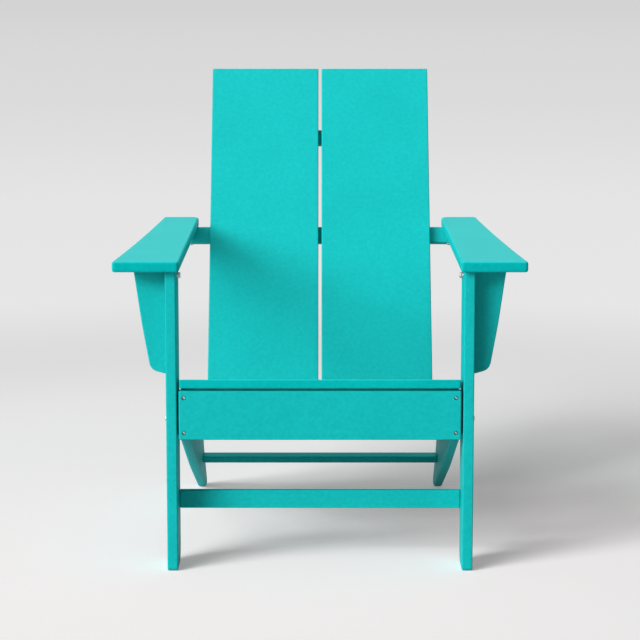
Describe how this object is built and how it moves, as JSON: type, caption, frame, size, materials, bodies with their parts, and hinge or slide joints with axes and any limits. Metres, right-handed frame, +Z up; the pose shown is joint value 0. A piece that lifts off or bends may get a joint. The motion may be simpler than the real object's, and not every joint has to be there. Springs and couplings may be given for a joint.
{
  "type": "adirondack chair",
  "caption": "Low plastic-lumber garden chair with a sloping slatted seat, a leaning back of broad flat boards and wide flat arms that taper to the rear.",
  "frame": {"origin": "on the floor, at the middle of the chair's overall width and depth", "axes": "+X to the right as seen from the front, +Y to the rear, +Z up"},
  "size_m": [0.7292, 0.846, 0.8568],
  "materials": {
    "lumber": "solid-coloured teal plastic lumber, satin with a fine leathery grain",
    "stainless": "plain stainless steel, satin"
  },
  "bodies": {
    "root": {"front_leg_left": "lumber", "front_leg_right": "lumber", "side_rail_left": "lumber", "side_rail_right": "lumber", "front_apron": "lumber", "front_stretcher": "lumber", "rear_stretcher": "lumber", "seat_slat_1": "lumber", "seat_slat_2": "lumber", "seat_slat_3": "lumber", "seat_slat_4": "lumber", "seat_slat_5": "lumber", "back_slat_left": "lumber", "back_slat_right": "lumber", "back_brace_upper": "lumber", "back_brace_lower": "lumber", "back_brace_arm": "lumber", "arm_screw_left_outer": "stainless", "arm_screw_left_inner": "stainless", "arm_screw_right_outer": "stainless", "arm_screw_right_inner": "stainless", "back_screw_upper_left_inner": "stainless", "back_screw_upper_left_outer": "stainless", "back_screw_upper_right_inner": "stainless", "back_screw_upper_right_outer": "stainless", "back_screw_arm_left_inner": "stainless", "back_screw_arm_left_outer": "stainless", "back_screw_arm_right_inner": "stainless", "back_screw_arm_right_outer": "stainless", "back_screw_lower_left_inner": "stainless", "back_screw_lower_left_outer": "stainless", "back_screw_lower_right_inner": "stainless", "back_screw_lower_right_outer": "stainless", "lower_brace_screw_left": "stainless", "lower_brace_screw_right": "stainless", "arm_left": "lumber", "arm_right": "lumber", "arm_bracket_left": "lumber", "arm_bracket_right": "lumber", "apron_screw_left_upper": "stainless", "apron_screw_left_lower": "stainless", "apron_screw_right_upper": "stainless", "apron_screw_right_lower": "stainless", "leg_bolt_left_front": "stainless", "leg_bolt_left_rear": "stainless", "leg_bolt_right_front": "stainless", "leg_bolt_right_rear": "stainless", "bracket_bolt_left": "stainless", "bracket_screw_left": "stainless", "bracket_bolt_right": "stainless", "bracket_screw_right": "stainless", "arm_dowel_left": "stainless", "arm_dowel_right": "stainless", "front_stretcher_screw_left_upper": "stainless", "front_stretcher_screw_left_lower": "stainless", "rear_stretcher_screw_left": "stainless", "front_stretcher_screw_right_upper": "stainless", "front_stretcher_screw_right_lower": "stainless", "rear_stretcher_screw_right": "stainless"}
  },
  "joints": []
}
